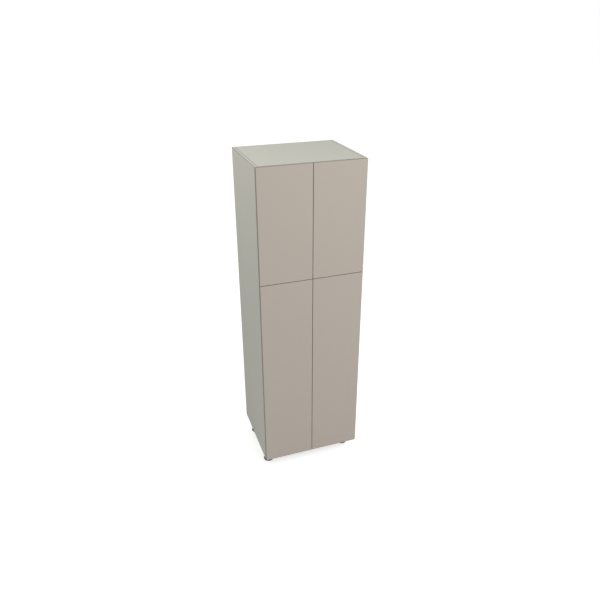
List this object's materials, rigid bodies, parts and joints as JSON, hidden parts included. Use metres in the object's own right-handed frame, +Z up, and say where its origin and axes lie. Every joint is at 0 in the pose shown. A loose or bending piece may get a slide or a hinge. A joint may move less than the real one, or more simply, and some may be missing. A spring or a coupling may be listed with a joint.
{
  "type": "tall utility cabinet",
  "caption": "Tall frameless utility cabinet with flat slab doors in pairs, loose shelves inside and adjustable feet below.",
  "frame": {"origin": "on the floor, under the middle of the cabinet", "axes": "+Z up, +X to the right as seen from the front, +Y from the doors to the wall"},
  "size_m": [0.762, 0.632, 2.438],
  "materials": {
    "carcass_board": "matt light grey-green laminate on particle board",
    "carcass_edge": "matt plastic edge band in the laminate's colour",
    "back_board": "matt laminate on thin fibreboard",
    "rail_board": "matt laminate on particle board",
    "door_board": "matt warm taupe laminate on fibreboard",
    "door_edge": "matt plastic edge band, a little darker than the door",
    "dowel_wood": "fluted beech",
    "hinge_metal": "nickel plated die-cast metal",
    "fitting_steel": "nickel plated steel",
    "screw_steel": "zinc plated steel",
    "latch_plastic": "grey moulded plastic",
    "plunger_plastic": "dark grey moulded plastic",
    "leg_plastic": "dark grey moulded plastic",
    "foot_plastic": "dark grey moulded plastic"
  },
  "bodies": {
    "carcass": {"side_panel_left": "carcass_board", "side_panel_right": "carcass_board", "top_panel": "carcass_board", "bottom_panel": "carcass_board", "fixed_shelf": "carcass_board", "shelf_upper_1": "carcass_board", "shelf_lower_1": "carcass_board", "shelf_lower_2": "carcass_board", "shelf_lower_3": "carcass_board", "shelf_lower_4": "carcass_board", "carcass_edge_bands": "carcass_edge", "shelf_edge_bands": "carcass_edge", "back_panel": "back_board", "hanging_rail_top": "rail_board", "hanging_rail_middle": "rail_board", "hanging_rail_bottom": "rail_board", "dowels": "dowel_wood", "shelf_pins": "fitting_steel", "hinge_arms": "fitting_steel", "mounting_plates": "fitting_steel", "plate_screws": "screw_steel", "latch_screws": "screw_steel", "leg_screws": "screw_steel", "leg_sockets": "leg_plastic", "leg_tubes": "leg_plastic", "push_latches": "latch_plastic"},
    "upper_left_door": {"door_upper_left": "door_board", "door_edge_bands_upper_left": "door_edge", "hinge_cups_upper_left": "hinge_metal", "hinge_pins_upper_left": "screw_steel", "strike_plate_upper_left": "fitting_steel"},
    "upper_left_plunger": {"latch_plunger_upper_left": "plunger_plastic"},
    "upper_right_door": {"door_upper_right": "door_board", "door_edge_bands_upper_right": "door_edge", "hinge_cups_upper_right": "hinge_metal", "hinge_pins_upper_right": "screw_steel", "strike_plate_upper_right": "fitting_steel"},
    "upper_right_plunger": {"latch_plunger_upper_right": "plunger_plastic"},
    "lower_left_door": {"door_lower_left": "door_board", "door_edge_bands_lower_left": "door_edge", "hinge_cups_lower_left": "hinge_metal", "hinge_pins_lower_left": "screw_steel", "strike_plate_lower_left": "fitting_steel"},
    "lower_left_plunger": {"latch_plunger_lower_left": "plunger_plastic"},
    "lower_right_door": {"door_lower_right": "door_board", "door_edge_bands_lower_right": "door_edge", "hinge_cups_lower_right": "hinge_metal", "hinge_pins_lower_right": "screw_steel", "strike_plate_lower_right": "fitting_steel"},
    "lower_right_plunger": {"latch_plunger_lower_right": "plunger_plastic"},
    "front_left_foot": {"foot_front_left": "foot_plastic"},
    "front_right_foot": {"foot_front_right": "foot_plastic"},
    "back_left_foot": {"foot_back_left": "foot_plastic"},
    "back_right_foot": {"foot_back_right": "foot_plastic"}
  },
  "joints": [
    {"name": "upper_left_door_swing", "type": "hinge", "parent": "carcass", "child": "upper_left_door", "pos_m": [-0.3724, -0.30555, 2.03], "axis": [0, 0, -1], "range_deg": [0, 100]},
    {"name": "upper_left_plunger_slide", "type": "slide", "parent": "carcass", "child": "upper_left_plunger", "axis": [0, -1, 0], "range_m": [0, 0.014]},
    {"name": "upper_right_door_swing", "type": "hinge", "parent": "carcass", "child": "upper_right_door", "pos_m": [0.3724, -0.30555, 2.03], "axis": [0, 0, 1], "range_deg": [0, 100]},
    {"name": "upper_right_plunger_slide", "type": "slide", "parent": "carcass", "child": "upper_right_plunger", "axis": [0, -1, 0], "range_m": [0, 0.014]},
    {"name": "lower_left_door_swing", "type": "hinge", "parent": "carcass", "child": "lower_left_door", "pos_m": [-0.3724, -0.30555, 0.87], "axis": [0, 0, -1], "range_deg": [0, 100]},
    {"name": "lower_left_plunger_slide", "type": "slide", "parent": "carcass", "child": "lower_left_plunger", "axis": [0, -1, 0], "range_m": [0, 0.014]},
    {"name": "lower_right_door_swing", "type": "hinge", "parent": "carcass", "child": "lower_right_door", "pos_m": [0.3724, -0.30555, 0.87], "axis": [0, 0, 1], "range_deg": [0, 100]},
    {"name": "lower_right_plunger_slide", "type": "slide", "parent": "carcass", "child": "lower_right_plunger", "axis": [0, -1, 0], "range_m": [0, 0.014]},
    {"name": "front_left_foot_height", "type": "slide", "parent": "carcass", "child": "front_left_foot", "axis": [0, 0, 1], "range_m": [-0.014, 0.011]},
    {"name": "front_right_foot_height", "type": "slide", "parent": "carcass", "child": "front_right_foot", "axis": [0, 0, 1], "range_m": [-0.014, 0.011]},
    {"name": "back_left_foot_height", "type": "slide", "parent": "carcass", "child": "back_left_foot", "axis": [0, 0, 1], "range_m": [-0.014, 0.011]},
    {"name": "back_right_foot_height", "type": "slide", "parent": "carcass", "child": "back_right_foot", "axis": [0, 0, 1], "range_m": [-0.014, 0.011]}
  ],
  "couplings": [
    {"joint": "upper_left_plunger_slide", "follows": "upper_left_door_swing", "m_per_rad": 0.008},
    {"joint": "upper_right_plunger_slide", "follows": "upper_right_door_swing", "m_per_rad": 0.008},
    {"joint": "lower_left_plunger_slide", "follows": "lower_left_door_swing", "m_per_rad": 0.008},
    {"joint": "lower_right_plunger_slide", "follows": "lower_right_door_swing", "m_per_rad": 0.008}
  ]
}
